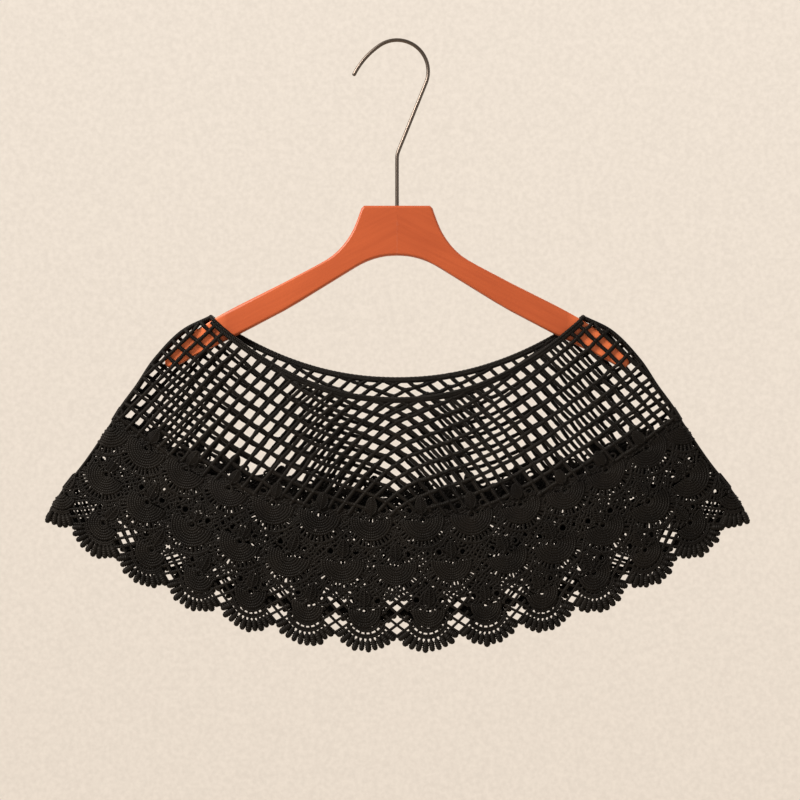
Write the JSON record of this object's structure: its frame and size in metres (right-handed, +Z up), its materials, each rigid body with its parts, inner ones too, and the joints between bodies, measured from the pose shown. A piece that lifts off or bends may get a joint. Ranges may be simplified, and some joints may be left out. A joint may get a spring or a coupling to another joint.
{
  "type": "lace shawl on a hanger",
  "caption": "Short black crocheted lace shawl with a net yoke and a scalloped fan border, hung flat on a wooden hanger with a wire hook.",
  "frame": {"origin": "inside of the hook's top, where a rail carries the hanger", "axes": "+X to the right as seen from the front, +Y from the front of the shawl to its back, +Z up"},
  "size_m": [0.6646, 0.0248, 0.5794],
  "materials": {
    "wood": "satin orange lacquer",
    "steel": "polished wire",
    "yarn": "matt crocheted yarn"
  },
  "bodies": {
    "root": {"hanger_left": "wood", "hanger_right": "wood", "hook": "steel", "neck_cord_front": "yarn", "neck_cord_back": "yarn", "net_yoke_front": "yarn", "net_yoke_back": "yarn", "lace_border_front": "yarn", "lace_border_back": "yarn", "side_cord_left": "yarn", "side_cord_right": "yarn"}
  },
  "joints": []
}
